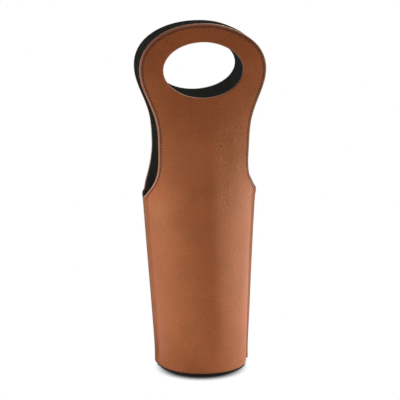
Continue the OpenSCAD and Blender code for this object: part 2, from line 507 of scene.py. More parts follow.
    @staticmethod
    def dome_block(strip: np.ndarray, counts: np.ndarray) -> np.ndarray:
        """Strip along the outline from where the rows end, over the top to the other side.

        Args:
            strip: Right half of the strip, points by insets by two.
            counts: Stitches of the row up to each place of the strip.

        Returns:
            The block.
        """
        points = np.concatenate([strip, (strip[:-1] * MIRROR)[::-1]])
        edge = np.broadcast_to(BORDER, points.shape[:2])
        stitch = np.broadcast_to(np.concatenate([counts, counts[:-1][::-1]])[:, None], edge.shape)
        return np.dstack([points, edge, np.full(edge.shape, FAR), stitch])

    def rings_block(self, loop: np.ndarray) -> np.ndarray:
        """Rings from the hand hole's oval out to a loop round it.

        A point of the oval lies in the direction of its point of the loop, once both are stretched so
        that the oval is a circle. The first rings stand off the oval along its normals, and the rest
        share out the way to the loop.

        Args:
            loop: Points of the loop, which the last ring takes.

        Returns:
            The block.
        """
        turns = np.arctan2((loop[:, 1] - self.ring_h) * self.hole_w, loop[:, 0] * self.hole_h)
        unit = np.stack([np.cos(turns), np.sin(turns)], axis=1)
        half = np.array([self.hole_w, self.hole_h]) / 2
        normal = unit / half
        normal /= np.linalg.norm(normal, axis=1, keepdims=True)
        inner = unit * half + (0, self.ring_h) + HOLE_BORDER[:, None, None] * normal[None]
        share = (np.arange(1, self.ring_steps + 1) / self.ring_steps)[:, None, None]
        points = np.concatenate([inner, inner[-1:] * (1 - share) + loop[None] * share])
        points[-1] = loop
        edge = np.full(points.shape[:2], FAR)
        edge[-1] = BORDER[-1]
        rim = np.concatenate([HOLE_BORDER, np.full(self.ring_steps, FAR)])
        return np.dstack([points, edge, np.broadcast_to(rim[:, None], edge.shape), np.zeros(edge.shape)])

    def grid(self) -> FlatGrid:
        """Grid of the whole panel, in three blocks that share their meeting points.

        The rows run across the panel from the hem to the turn height. Above it a strip follows the
        outline over the dome, and rings join that strip and the last row to the hand hole.

        Returns:
            The flat grid, with shared points merged.
        """
        at = self.stations()
        _, length = self.outline()
        strip = np.stack([sample(self.inner_line(inset), length, at) for inset in BORDER], axis=1)
        counts = np.interp(at, length, self.seam_line()[1])
        turn = int(np.searchsorted(strip[:, 0, 1], self.turn_h))
        rows = self.rows_block(strip[: turn + 1], counts[: turn + 1])
        dome = self.dome_block(strip[turn:], counts[turn:])
        inside = slice(len(BORDER) - 1, -len(BORDER))
        loop = np.concatenate([rows[-1, inside, :2], dome[:-1, -1, :2]])
        return FlatGrid.merged(rows, dome, self.rings_block(loop))


@dataclass
class Bow:
    """Bend of one panel in space, worked out as tables over height and distance.

    At each height the curve leaves the panel's middle with a heading of bend times distance. At its
    end the heading turns back to zero round the fin's root, so that both fins lie flat on each other.
    Sums of the heading's cosine and sine give the curve, and the middle stands where the fins meet
    at the carrier's middle plane. Above the seam corners the middle leans in to the top.
    """

    pattern: PanelPattern
    # Power with which the bow flattens above the seam, and the top's depth from the middle plane
    bow_power: float
    top_depth: float
    # Heights by which sewing has moved the left and right seam corners, half height of that drift's
    # bell, and distances from the panel's middle between which it sets in
    left_drift: float = 0.0
    right_drift: float = 0.0
    drift_h: float = 0.024
    drift_span: Span = (0.020, 0.065)
    # Radius of the fin's root at the base, how much wider it opens above, and its softness
    root_r: float = 0.0027
    root_growth: float = 0.9
    root_span: Span = (0.010, 0.070)
    root_ease: float = 0.4
    # Gap between the two panels' fins, and the height above the seam over which the root fades out
    seam_gap: float = 0.00012
    fade: float = 0.015
    # Lines below the seam corners that give the wall's slope, and the power with which it dies out
    slope_lines: int = 20
    slope_power: int = 5
    # Sideways drift of the tube's foot, of all above the seam corners, and of the ring's top
    foot_lean: float = 0.0001
    lean: float = -0.0025
    tip_lean: float = -0.0009
    tip_span: Span = (0.345, 0.395)
    # Droop of the ring's right shoulder: depth, distance from the middle, half width and heights
    shoulder: float = 0.0011
    shoulder_at: float = 0.043
    shoulder_w: float = 0.018
    shoulder_span: Span = (0.355, 0.385)
    # Faint swell: depth, where it dies out at the seams and the foot, its waves, and the back's phase
    swell: float = 0.00025
    swell_across: Span = (0.066, 0.036)
    swell_up: Span = (0.0, 0.05)
    waves: tuple[Wave, ...] = ((55, 21, 0, 1), (-40, 33, 1, 1), (0, 71, 0, 2))
    back_phase: float = 1.7
    # Angles by which the left and right pairs of fins lean back, the width of the turn, and the
    # heights from the seam corners between which the lean dies out
    left_fin_turn: float = math.radians(34)
    right_fin_turn: float = math.radians(26)
    fin_ease: float = 0.0030
    upright_span: Span = (-0.010, 0.025)
    # Soft upright fold down the panel: height, half width, distance from the middle, foot and top
    fold: float = 0.0010
    fold_w: float = 0.0080
    fold_at: float = 0.0060
    fold_foot: Span = (0.004, 0.024)
    fold_top: Span = (0.335, 0.255)
    # Lines of the tables up the height and along the distance, and how far they pass the fin's edge
    z_lines: int = 401
    s_lines: int = 845
    s_past: float = 0.004
    z_axis: np.ndarray = field(init=False, repr=False)
    s_axis: np.ndarray = field(init=False, repr=False)
    across: np.ndarray = field(init=False, repr=False)
    inward: np.ndarray = field(init=False, repr=False)
    heading: np.ndarray = field(init=False, repr=False)

    def __post_init__(self) -> None:
        """Fill the tables of position and heading.

        Above the corners the middle's depth falls by a parabola to the top's, and starts with the
        wall's slope just below them, which a power of the way left to the top wears off.
        """
        p = self.pattern
        self.z_axis = np.linspace(0, p.height, self.z_lines)
        self.s_axis = np.linspace(0, p.mouth_arc / 2 + p.fin_w + self.s_past, self.s_lines)
        z, s = self.z_axis[:, None], self.s_axis[None, :]
        arc = p.arc_half(z)
        turn = math.pi / 2 + (p.mouth_turn - math.pi / 2) * p.rise(z)
        bend = turn / arc * (1 - p.climb(z)) ** self.bow_power
        hold = 1 - ease(z, p.seam_h, p.seam_h + self.fade)
        root_w = self.root_r * turn * (1 + self.root_growth * ease(z, *self.root_span))
        self.heading = bend * s * (1 - hold * soft_ramp((s - arc + root_w / 2) / root_w, self.root_ease))
        step = self.s_axis[1]
        self.across = self.running_sum(np.cos(self.heading)) * step
        self.inward = self.running_sum(np.sin(self.heading)) * step
        seam_depth = self.inward[:, -1:] + self.seam_gap / 2
        corner = int(np.searchsorted(self.z_axis, p.seam_h))
        mouth_depth = seam_depth[corner]
        slope = (mouth_depth - seam_depth[corner - self.slope_lines]) / self.slope_lines
        fall = slope * (self.z_lines - 1 - corner)
        c = p.climb(z)
        above = self.top_depth + (mouth_depth - self.top_depth) * (1 - c**2)
        above = above + fall * c * (1 - c) ** self.slope_power
        self.inward = self.inward - np.where(z <= p.seam_h, seam_depth, above)

    @staticmethod
    def running_sum(values: np.ndarray) -> np.ndarray:
        """Sum along each row by the trapezium rule, from zero at the first column."""
        steps = (values[:, 1:] + values[:, :-1]) / 2
        return np.concatenate([np.zeros((len(values), 1)), np.cumsum(steps, axis=1)], axis=1)

    def look_up(self, table: np.ndarray, s: np.ndarray, z: np.ndarray) -> np.ndarray:
        """Value of a table at places between its lines, linear both ways.

        Args:
            table: Table of the bow.
            s: Distances from the panel's middle, without their sign.
            z: Heights.

        Returns:
            One value a point.
        """
        # A place on the last line counts as just before it, so that there is a line beyond it
        row = np.clip(z / self.z_axis[1], 0, self.z_lines - 1.001)
        col = np.clip(s / self.s_axis[1], 0, self.s_lines - 1.001)
        j, i = row.astype(int), col.astype(int)
        v, u = row - j, col - i
        low = table[j, i] * (1 - u) + table[j, i + 1] * u
        high = table[j + 1, i] * (1 - u) + table[j + 1, i + 1] * u
        return low * (1 - v) + high * v

    def fin_lean(self, s: np.ndarray, z: np.ndarray) -> tuple[np.ndarray, np.ndarray]:
        """How far the fins draw in and back as each pair leans back together.

        Past the root, the width beyond it is turned by the lean: it loses one less the cosine of it
        sideways and moves back by the sine. The start is eased, and the lean dies out above the seam.

        Args:
            s: Distances from the panel's middle.
            z: Heights.

        Returns:
            Amounts inwards and back, one a point.
        """
        past = np.abs(s) - self.pattern.arc_half(z)
        t = np.clip(past / self.fin_ease, 0, 1)
        past = np.where(t < 1, self.fin_ease * (t**3 - t**4 / 2), past - self.fin_ease / 2)
        lean = np.where(s < 0, self.left_fin_turn, self.right_fin_turn)
        lean = lean * (1 - ease(z - self.pattern.seam_h, *self.upright_span))
        return past * (1 - np.cos(lean)), past * np.sin(lean)

    def relief(self, s: np.ndarray, z: np.ndarray, side: Side) -> np.ndarray:
        """How far the cloth stands out from the even bow, which keeps it from being a ruled surface.

        It is a faint swell, a sum of slow waves that dies out at the seams and the foot, and a soft
        upright fold, a bell across the panel that fades to the base and the ring.

        Args:
            s: Distances from the panel's middle.
            z: Heights.
            side: Panel that the points belong to.

        Returns:
            One distance a point.
        """
        phase = 0.0 if side is Side.FRONT else self.back_phase
        wave = sum(np.sin(a * s + b * z + shift + share * phase) for a, b, shift, share in self.waves)
        still = ease(np.abs(s), *self.swell_across) * ease(z, *self.swell_up)
        upright = ease(z, *self.fold_foot) * ease(z, *self.fold_top)
        fold = self.fold * upright * np.exp(-0.5 * ((s - self.fold_at) / self.fold_w) ** 2)
        return self.swell * still * wave + fold

    def place(self, flat: np.ndarray, offset: np.ndarray, side: Side) -> np.ndarray:
        """Points in space for points of the pattern.

        Near a seam corner the height drifts by a bell-shaped amount, and so does that of the ring's
        right shoulder. A point stands off the bow along its normal, by its offset and the relief.

        Args:
            flat: Pairs of distance and height.
            offset: Distance outwards from the panel's inner face, one a point.
            side: Panel that the points belong to.

        Returns:
            One row of x, y, z a point.
        """
        s, z = flat[:, 0], flat[:, 1]
        away, seam_h = np.abs(s), self.pattern.seam_h
        near = np.exp(-(((z - seam_h) / self.drift_h) ** 2)) * ease(away, *self.drift_span)
        z = z + np.where(s < 0, self.left_drift, self.right_drift) * near
        tables = (self.across, self.inward, self.heading)
        x, y, turn = (self.look_up(table, away, z) for table in tables)
        out = offset + self.relief(s, z, side)
        drawn, back = self.fin_lean(s, z)
        x = np.where(s < 0, -1.0, 1.0) * (x - drawn + out * np.sin(turn))
        x = x + self.foot_lean + (self.lean - self.foot_lean) * ease(z, 0, seam_h)
        x = x + self.tip_lean * ease(z, *self.tip_span)
        y = y - out * np.cos(turn)
        droop = self.shoulder * np.exp(-(((s - self.shoulder_at) / self.shoulder_w) ** 2))
        return np.stack([x, back - side.facing * y, z - droop * ease(z, *self.shoulder_span)], axis=1)


@dataclass(frozen=True)
class Laminate:
    """Thickness of the layers, and how the sewing presses them at the edges."""

    skin_t: float = 0.0009
    core_t: float = 0.0011
    lining_t: float = 0.0006
    # Width over which the edge rolls off, and the share of each thickness that it loses there
    roll_w: float = 0.0029
    skin_press: float = 0.62
    core_press: float = 0.46
    lining_press: float = 0.30
    # The same width at the hand hole, and how much of the roll-off is left there
    rim_roll_w: float = 0.0014
    rim_share: float = 0.8
    # Groove that the stitches pull into the skin: half width, depth, share on the fins, where they end
    groove_w: float = 0.00050
    groove_depth: float = 0.00022
    fin_share: float = 0.1
    free_span: Span = (0.197, 0.203)
    # Share of the groove that draws in the lining too, and the heights above which it does
    lining_share: float = 0.3
    lining_span: Span = (0.200, 0.212)

    @property
    def wall(self) -> float:
        """Whole thickness."""
        return self.skin_t + self.core_t + self.lining_t

    @staticmethod
    def rolled(distance: np.ndarray, width: float) -> np.ndarray:
        """Roll-off from 1 at the edge to 0 at a width inside it: a quarter of an ellipse."""
        away = np.clip(1 - distance / width, 0, 1)
        return 1 - np.sqrt(1 - away**2)

    def free(self, z: np.ndarray) -> np.ndarray:
        """Ease from 0 on the fins to 1 above them."""
        return ease(z, *self.free_span)

    def groove(self, z: np.ndarray, off_row: np.ndarray | float) -> np.ndarray:
        """Depth of the stitch groove: a bell across the stitch row, shallower on the fins."""
        depth = self.groove_depth * (self.fin_share + (1 - self.fin_share) * self.free(z))
        return depth * np.exp(-0.5 * (off_row / self.groove_w) ** 2)

    def faces(self, layer: Layer, grid: FlatGrid, inset: float) -> tuple[np.ndarray, np.ndarray]:
        """Offsets of a layer's inner and outer faces from the panel's inner face.

        Each thickness loses its share of the roll-off, and the groove is taken half from the skin and
        half from the stiffener under it.

        Args:
            layer: Layer asked for.
            grid: Flat grid with distances from the edges.
            inset: Distance of the stitches from the cut edge.

        Returns:
            Inner and outer offsets, one a point.
        """
        z = grid.points[:, 1]
        roll = np.maximum(
            self.rolled(grid.edge, self.roll_w), self.rolled(grid.rim, self.rim_roll_w) * self.rim_share
        )
        groove = self.groove(z, grid.edge - inset)
        core_in = self.lining_t * (1 - self.lining_press * roll)
        core_out = core_in + self.core_t * (1 - self.core_press * roll) - groove / 2
        skin_out = core_out + self.skin_t * (1 - self.skin_press * roll) - groove / 2
        inner = groove * self.lining_share * ease(z, *self.lining_span)
        return {
            Layer.SKIN: (core_out, skin_out),
            Layer.CORE: (core_in, core_out),
            Layer.LINING: (inner, core_in),
        }[layer]


def closed_layer(
    name: str, grid: FlatGrid, inner: np.ndarray, outer: np.ndarray, mirrored: bool
) -> bpy.types.Object:
    """Closed solid between two faces over the same flat grid.

    Both faces use the grid's quads. An edge that only one quad has lies on the outline or on the hand
    hole, and gets a wall between the faces.

    Args:
        name: Name of the piece.
        grid: Flat grid.
        inner: Points of the inner face.
        outer: Points of the outer face.
        mirrored: Whether the panel is the mirrored one, whose faces turn the other way.

    Returns:
        The piece.
    """
    count = len(grid.points)
    one_way = np.concatenate([grid.quads[:, [k, (k + 1) % 4]] for k in range(4)])
    forth = one_way[:, 0] * count + one_way[:, 1]
    back = one_way[:, 1] * count + one_way[:, 0]
    a, b = one_way[~np.isin(forth, back)].T
    walls = np.stack([b, a, a + count, b + count], axis=1)
    faces = np.concatenate([grid.quads, grid.quads[:, ::-1] + count, walls])
    if mirrored:
        faces = faces[:, ::-1]
    marks = {"edge": grid.edge, "rim": grid.rim, "stitch": grid.stitch}
    twice = {key: np.tile(values, 2) for key, values in marks.items()}
    return build_piece(name, np.concatenate([outer, inner]), faces, np.tile(grid.points, (2, 1)), twice)


class Shader:
    """Thin help for writing node trees: a call adds a node or two and returns what they put out."""

    def __init__(self, tree: bpy.types.NodeTree) -> None:
        """Keep the tree that the nodes go into."""
        self.tree = tree

    def feed(self, socket: Socket, value: object) -> None:
        """Link a socket to an input, or set the input's own value."""
        if isinstance(value, Socket):
            self.tree.links.new(value, socket)
        else:
            socket.default_value = value

    def node(
        self, kind: str, inputs: dict[str | int, object] | None = None, **settings: object
    ) -> bpy.types.Node:
        """Add a node.

        Args:
            kind: Blender's name for the node type, without the leading ShaderNode.
            inputs: Values or sockets for its inputs.
            settings: Properties of the node.

        Returns:
            The node.
        """
        made = self.tree.nodes.new(f"ShaderNode{kind}")
        for key, value in settings.items():
            setattr(made, key, value)
        for key, value in (inputs or {}).items():
            self.feed(made.inputs[key], value)
        return made

    def group(self, tree: bpy.types.NodeTree, **inputs: object) -> bpy.types.Node:
        """Place a node group, with its inputs named by words joined with _."""
        named = {key.replace("_", " "): value for key, value in inputs.items()}
        return self.node("Group", named, node_tree=tree)

    def math(self, operation: str, *values: object) -> Socket:
        """Add a Math node and return its value."""
        return self.node("Math", dict(enumerate(values)), operation=operation).outputs[0]

    def times(self, a: object, b: object) -> Socket:
        """Product of two values."""
        return self.math("MULTIPLY", a, b)

    def line(self, value: object, slope: object, plus: object) -> Socket:
        """Value times a slope, plus another value."""
        return self.math("MULTIPLY_ADD", value, slope, plus)

    def gap(self, a: object, b: object) -> Socket:
        """Distance between two values."""
        return self.math("ABSOLUTE", self.math("SUBTRACT", a, b))

    def ramp(self, value: object, low: float, high: float, start: float = 0, end: float = 1) -> Socket:
        """Add a Map Range node that eases between two values and return its result."""
        inputs = {"Value": value, "From Min": low, "From Max": high, "To Min": start, "To Max": end}
        return self.node("MapRange", inputs, interpolation_type="SMOOTHSTEP").outputs[0]

    def fall(self, value: object, low: float, high: float, level: float = 1.0) -> Socket:
        """Ease down from a level to 0 between two values."""
        return self.ramp(value, low, high, level, 0.0)

    def mix(self, factor: object, a: object, b: object) -> Socket:
        """Add a Mix node for colours and return its result."""
        return self.node("Mix", {0: factor, 6: a, 7: b}, data_type="RGBA").outputs[2]

    def between(self, factor: object, a: object, b: object) -> Socket:
        """Add a Mix node for plain values and return its result."""
        return self.node("Mix", {0: factor, 2: a, 3: b}, data_type="FLOAT").outputs[0]

    def noise(self, vector: object, scale: object, detail: float = 2, rough: float = 0.5) -> Socket:
        """Add a Noise texture and return its value."""
        inputs = {"Vector": vector, "Scale": scale, "Detail": detail, "Roughness": rough}
        return self.node("TexNoise", inputs).outputs[0]

    def parts(self, vector: object) -> bpy.types.NodeOutputs:
        """The three parts of a vector."""
        return self.node("SeparateXYZ", {"Vector": vector}).outputs

    def object_place(self) -> Socket:
        """Object coordinates."""
        return self.node("TexCoord").outputs["Object"]

    def pattern_place(self) -> Socket:
        """Coordinates of the flat pattern, in metres."""
        return self.node("UVMap", uv_map="pattern").outputs[0]

    def mark(self, name: str) -> Socket:
        """Value that the mesh keeps at each point."""
        return self.node("Attribute", attribute_name=name).outputs["Fac"]

    def bump(self, height: object, strength: float, distance: float) -> Socket:
        """Normal bent by a height in units of a distance."""
        return self.node("Bump", {"Strength": strength, "Distance": distance, "Height": height}).outputs[0]

    def dress(self, colour: Socket, rough: Socket, normal: Socket) -> None:
        """Feed the Principled shader its colour, roughness and normal."""
        shader = self.tree.nodes["Principled BSDF"]
        for key, value in (("Base Color", colour), ("Roughness", rough), ("Normal", normal)):
            self.feed(shader.inputs[key], value)


@dataclass
class NodeGroup:
    """A shader node group in the making, with its named inputs and outputs."""

    name: str
    takes: dict[str, tuple[str, object]]
    gives: dict[str, str]
    tree: bpy.types.NodeTree = field(init=False)
    sh: Shader = field(init=False)
    start: bpy.types.Node = field(init=False)
    end: bpy.types.Node = field(init=False)

    def __post_init__(self) -> None:
        """Make the tree and its sockets."""
        self.tree = bpy.data.node_groups.new(self.name, "ShaderNodeTree")
        for key, (kind, value) in self.takes.items():
            socket = self.tree.interface.new_socket(key, in_out="INPUT", socket_type=f"NodeSocket{kind}")
            if value is not None:
                socket.default_value = value
        for key, kind in self.gives.items():
            self.tree.interface.new_socket(key, in_out="OUTPUT", socket_type=f"NodeSocket{kind}")
        self.sh = Shader(self.tree)
        self.start = self.tree.nodes.new("NodeGroupInput")
        self.end = self.tree.nodes.new("NodeGroupOutput")

    def take(self, key: str) -> Socket:
        """What the group is given under a name."""
        return self.start.outputs[key]

    def give(self, key: str, value: Socket) -> None:
        """Put a value out under a name."""
        self.tree.links.new(value, self.end.inputs[key])


@dataclass
class SharedEffects:
    """Node groups that several finishes use."""

    # Grain: scale and reach of the bends in its lines, slant, stretch and span of its domed cells, and
    # scale and share of its pores
    bend_scale: float = 260.0
    bend_reach: float = 0.0009
    slant: float = math.radians(-38)
    stretch: Point = (1.0, 0.62, 1.0)
    dome_span: Span = (0.0, 0.75)
    pore_scale: float = 2600.0
    pore_share: float = 0.2
    # Ridges: their scale, and the scale, span and level of the patches that they show in
    ridge_scale: float = 190.0
    patch_scale: float = 230.0
    patch_span: Span = (0.44, 0.56)
    patch_level: float = 1.2
    # Mottle: spans of noise that turn into clouds and flecks
    cloud_span: Span = (0.34, 0.66)
    fleck_span: Span = (0.35, 0.65)
    pebble: bpy.types.NodeTree = field(init=False)
    mottle: bpy.types.NodeTree = field(init=False)

    def __post_init__(self) -> None:
        """Build each group once."""
        self.pebble = self.pebble_group()
        self.mottle = self.mottle_group()

    def pebble_group(self) -> bpy.types.NodeTree:
        """Height of a fine embossed grain of soft cells and pores, and that of slanting ridges.

        Returns:
            The group.
        """
        takes = {"Vector": ("Vector", None), "Cells": ("Float", 800.0)}
        made = NodeGroup("pebble_grain", takes, {"Height": "Float", "Ridges": "Float"})
        sh, place = made.sh, made.take("Vector")
        bend = sh.node("TexNoise", {"Vector": place, "Scale": self.bend_scale, "Detail": 1.0})
        halves = {0: bend.outputs["Color"], 1: (0.5, 0.5, 0.5)}
        centred = sh.node("VectorMath", halves, operation="SUBTRACT").outputs[0]
        pull = sh.node("VectorMath", {0: centred, "Scale": self.bend_reach}, operation="SCALE").outputs[0]
        where = sh.node("VectorMath", {0: place, 1: pull}, operation="ADD").outputs[0]
        turned = {"Vector": where, "Rotation": (0, 0, self.slant), "Scale": self.stretch}
        cells = {
            "Vector": sh.node("Mapping", turned).outputs[0],
            "Scale": made.take("Cells"),
            "Randomness": 0.8,
            "Smoothness": 0.35,
        }
        distance = sh.node("TexVoronoi", cells, feature="SMOOTH_F1").outputs["Distance"]
        dome = sh.fall(distance, *self.dome_span)
        waves = {
            "Vector": where,
            "Scale": self.ridge_scale,
            "Distortion": 3.5,
            "Detail": 2.0,
            "Detail Scale": 2.5,
        }
        wave = sh.node("TexWave", waves, bands_direction="DIAGONAL").outputs["Fac"]
        patches = sh.noise(place, self.patch_scale, detail=1.0)
        ridge = sh.times(wave, sh.ramp(patches, *self.patch_span, 0.0, self.patch_level))
        fine = sh.noise(where, self.pore_scale, detail=2.0, rough=0.6)
        made.give("Height", sh.line(fine, self.pore_share, dome))
        made.give("Ridges", ridge)
        return made.tree

    def mottle_group(self) -> bpy.types.NodeTree:
        """Colour that wanders between two tones in broad clouds and fine flecks.

        Returns:
            The group.
        """
        takes = {
            "Vector": ("Vector", None),
            "Tone A": ("Color", (0.5, 0.5, 0.5, 1)),
            "Tone B": ("Color", (0.4, 0.4, 0.4, 1)),
            "Cloud Scale": ("Float", 22.0),
            "Fleck Scale": ("Float", 420.0),
            "Fleck Share": ("Float", 0.25),
        }
        made = NodeGroup("mottle", takes, {"Color": "Color", "Mask": "Float"})
        sh, place = made.sh, made.take("Vector")
        broad = sh.ramp(sh.noise(place, made.take("Cloud Scale"), detail=3.0, rough=0.55), *self.cloud_span)
        small = sh.ramp(sh.noise(place, made.take("Fleck Scale")), *self.fleck_span)
        both = sh.between(made.take("Fleck Share"), broad, small)
        made.give("Color", sh.mix(both, made.take("Tone A"), made.take("Tone B")))
        made.give("Mask", both)
        return made.tree


@dataclass(frozen=True)
class Finish:
    """What every finish has: its name, and how it starts a material."""

    name: str

    def start(self, **values: object) -> tuple[bpy.types.Material, Shader]:
        """Start a material with one Principled shader.

        Args:
            values: Constants for the shader's own sockets, with _ for a space in their names.

        Returns:
            The material, and a shader helper on its tree.
        """
        material = bpy.data.materials.new(self.name)
        material.use_nodes = True
        shader = material.node_tree.nodes["Principled BSDF"]
        for key, value in values.items():
            shader.inputs[key.replace("_", " ")].default_value = value
        return material, Shader(material.node_tree)


@dataclass(frozen=True)
class Leatherette(Finish):
    """Coated fabric with a fine embossed grain, smoother along its sewn and rolled edges, where sheen and
    shade are painted into the colour.
    """

    tone_a: Color = (0.278, 0.0712, 0.0234, 1)
    tone_b: Color = (0.237, 0.0575, 0.0186, 1)
    # Painted sheen and painted shade of the margin; the shade tone also darkens the fins' cut edge
    painted_sheen_tone: Color = (0.215, 0.105, 0.078, 1)
    painted_shade_tone: Color = (0.085, 0.030, 0.014, 1)
    # Dark tone of skin pressed under the threads, with painted shade of their dimples, and painted shade in
    # the needle holes
    pressed_shade: Color = (0.052, 0.010, 0.004, 1)
    hole_shade: Color = (0.022, 0.005, 0.002, 1)
    gloss: Color = (1.0, 0.94, 0.50, 1)
    # Scale of the grain's cells
    cells: float = 820.0
    # Roughness in the valleys, and how much smoother the grain's tops and the margin are
    rough: float = 0.57
    tops_smoother: float = 0.10
    margin_smoother: float = 0.10
    # Heights from the seam corners between which the fins' look gives way to the free edge's
    free_span: Span = (-0.004, 0.003)
    # Valleys of the grain: span of its height, and how much of the dark tone of pressed skin and painted
    # shade they take
    valley_span: Span = (0.15, 0.80)
    valley_share: float = 0.18
    # Distances from the stitch row at which the pressed line, with its painted shade, and the needle holes
    # end
    pressed_shade_span: Span = (0.0006, 0.0014)
    hole_span: Span = (0.0003, 0.0006)
    # Shares of the pitch: where the thread ends and the needle hole lies, counted from a stitch's
    # middle, and where the hole ends, counted from its own
    thread_shares: Span = (0.22, 0.36)
    hole_share: float = 0.33
    hole_shares: Span = (0.03, 0.07)
    # Margin outside the stitches, smoother and with painted sheen and shade: where it ends, how much
    # narrower it is at the hand hole, its share on the fins, and how much flatter its relief is
    margin_span: Span = (0.0019, 0.0026)
    rim_less: float = 0.0015
    margin_fin_share: float = 0.2
    margin_flatter: float = 0.6
    # Strength of its painted sheen on the left, how much more painted shade it has on the right, and where
    # that changes
    margin_light_strength: float = 0.55
    right_shade_more: float = 0.20
    sheen_to_shade_span: Span = (-0.005, 0.045)
    # Painted shade on the cut edge of the fins
    fin_edge_shade_span: Span = (0.0006, 0.0012)
    fin_edge_shade_share: float = 0.8
    # Ridges: patches, where across the panel they stand out and by how much, and their share by height
    patch_scale: float = 30.0
    patch_ramp: Ramp = (0.42, 0.60, 0.10, 1.0)
    ridges_at: float = 0.026
    ridge_ramp: Ramp = (0.009, 0.019, 12.5, 1.0)
    height_ramps: tuple[Ramp, ...] = ((0.25, 0.31, 1.0, 0.1), (0.185, 0.218, 0.3, 1.0))
    # Depth of the relief, and that of the needle holes in shares of it
    relief_depth: float = 0.00010
    hole_depth_share: float = 3.0

    def needle_marks(self, sh: Shader, off_row: Socket, free: Socket) -> tuple[Socket, Socket]:
        """Masks of the skin that each thread presses, where shade is painted, and of the needle hole at each
        of its ends, darkened by painted shade.

        Args:
            sh: Shader helper on the material's tree.
            off_row: Distance from the stitch row.
            free: Mask of the free edge above the fins.

        Returns:
            The two masks.
        """
        to_middle = sh.gap(sh.math("FRACT", sh.mark("stitch")), 0.5)
        under = sh.times(sh.fall(to_middle, *self.thread_shares), free)
        pressed_shade = sh.times(sh.fall(off_row, *self.pressed_shade_span), under)
        to_hole = sh.gap(to_middle, self.hole_share)
        holes = sh.times(sh.fall(to_hole, *self.hole_shares), sh.fall(off_row, *self.hole_span))
        return pressed_shade, sh.times(holes, free)

    def standing_ridges(self, sh: Shader, uv: Socket, ridges: Socket, grain: Socket) -> Socket:
        """Relief of the grain with ridges that stand out in patches, most on the neck's right half.

        Args:
            sh: Shader helper on the material's tree.
            uv: Coordinates of the flat pattern.
            ridges: Height of the slanting ridges.
            grain: Height of the grain.

        Returns:
            The relief.
        """
        across, height, _ = sh.parts(uv)
        patchy = sh.ramp(sh.noise(uv, self.patch_scale, detail=1.0), *self.patch_ramp)
        patchy = sh.times(patchy, sh.ramp(sh.gap(across, self.ridges_at), *self.ridge_ramp))
        for ramp in self.height_ramps:
            patchy = sh.times(patchy, sh.ramp(height, *ramp))
        return sh.line(ridges, patchy, grain)

    def material(self, effects: SharedEffects, pattern: PanelPattern) -> bpy.types.Material:
        """Build the material.

        The grain's valleys are a little darker. Above the seam the skin under each thread is darkened, as
        pressed skin with painted shade in its dimple, and a needle hole at each of its ends is darkened with
        painted shade. The rolled margin outside the stitches is smoother, with painted sheen that makes it
        pale on the left half and painted shade that makes it dark on the right. The fins' cut edge is
        darkened with painted shade.

        Args:
            effects: Shared node groups.
            pattern: Pattern that knows where the stitches run.

        Returns:
            The material.
        """
        material, sh = self.start(Specular_IOR_Level=0.35, Specular_Tint=self.gloss)
        uv, edge = sh.pattern_place(), sh.mark("edge")
        across, height, _ = sh.parts(uv)
        mottle = sh.group(effects.mottle, Vector=uv, Tone_A=self.tone_a, Tone_B=self.tone_b)
        pebble = sh.group(effects.pebble, Vector=uv, Cells=self.cells)
        grain, ridges = pebble.outputs["Height"], pebble.outputs["Ridges"]
        free = sh.ramp(height, *(pattern.seam_h + z for z in self.free_span))
        pressed_shade, holes = self.needle_marks(sh, sh.gap(edge, pattern.stitch_in), free)
        inside = sh.math("MINIMUM", edge, sh.math("ADD", sh.mark("rim"), self.rim_less))
        margin_share = sh.line(free, 1 - self.margin_fin_share, self.margin_fin_share)
        margin = sh.times(sh.fall(inside, *self.margin_span), margin_share)
        # Painted light on the margin: sheen on the left half that turns to shade on the right half
        turned = sh.ramp(across, *self.sheen_to_shade_span)
        margin_sheen_to_shade = sh.mix(turned, self.painted_sheen_tone, self.painted_shade_tone)
        # Painted shade along the fins' cut edge, below the seam corners
        fin_edge_shade = sh.times(sh.fall(edge, *self.fin_edge_shade_span, self.fin_edge_shade_share), sh.math("SUBTRACT", 1.0, free))
        valley = sh.fall(grain, *self.valley_span, self.valley_share)
        colour = sh.mix(valley, mottle.outputs["Color"], self.pressed_shade)
        # How strongly the margin takes its painted sheen and shade, more on the right
        strength = sh.line(turned, self.right_shade_more, self.margin_light_strength)
        colour = sh.mix(sh.times(margin, strength), colour, margin_sheen_to_shade)
        colour = sh.mix(fin_edge_shade, colour, self.painted_shade_tone)
        # Painted shade in the stitch dimples and the needle holes
        colour = sh.mix(pressed_shade, colour, self.pressed_shade)
        colour = sh.mix(holes, colour, self.hole_shade)
        rough = sh.line(margin, -self.margin_smoother, sh.line(grain, -self.tops_smoother, self.rough))
        relief = self.standing_ridges(sh, uv, ridges, grain)
        relief = sh.times(relief, sh.line(margin, -self.margin_flatter, 1.0))
        relief = sh.line(holes, -self.hole_depth_share, relief)
        sh.dress(colour, rough, sh.bump(relief, strength=0.6, distance=self.relief_depth))
        return material


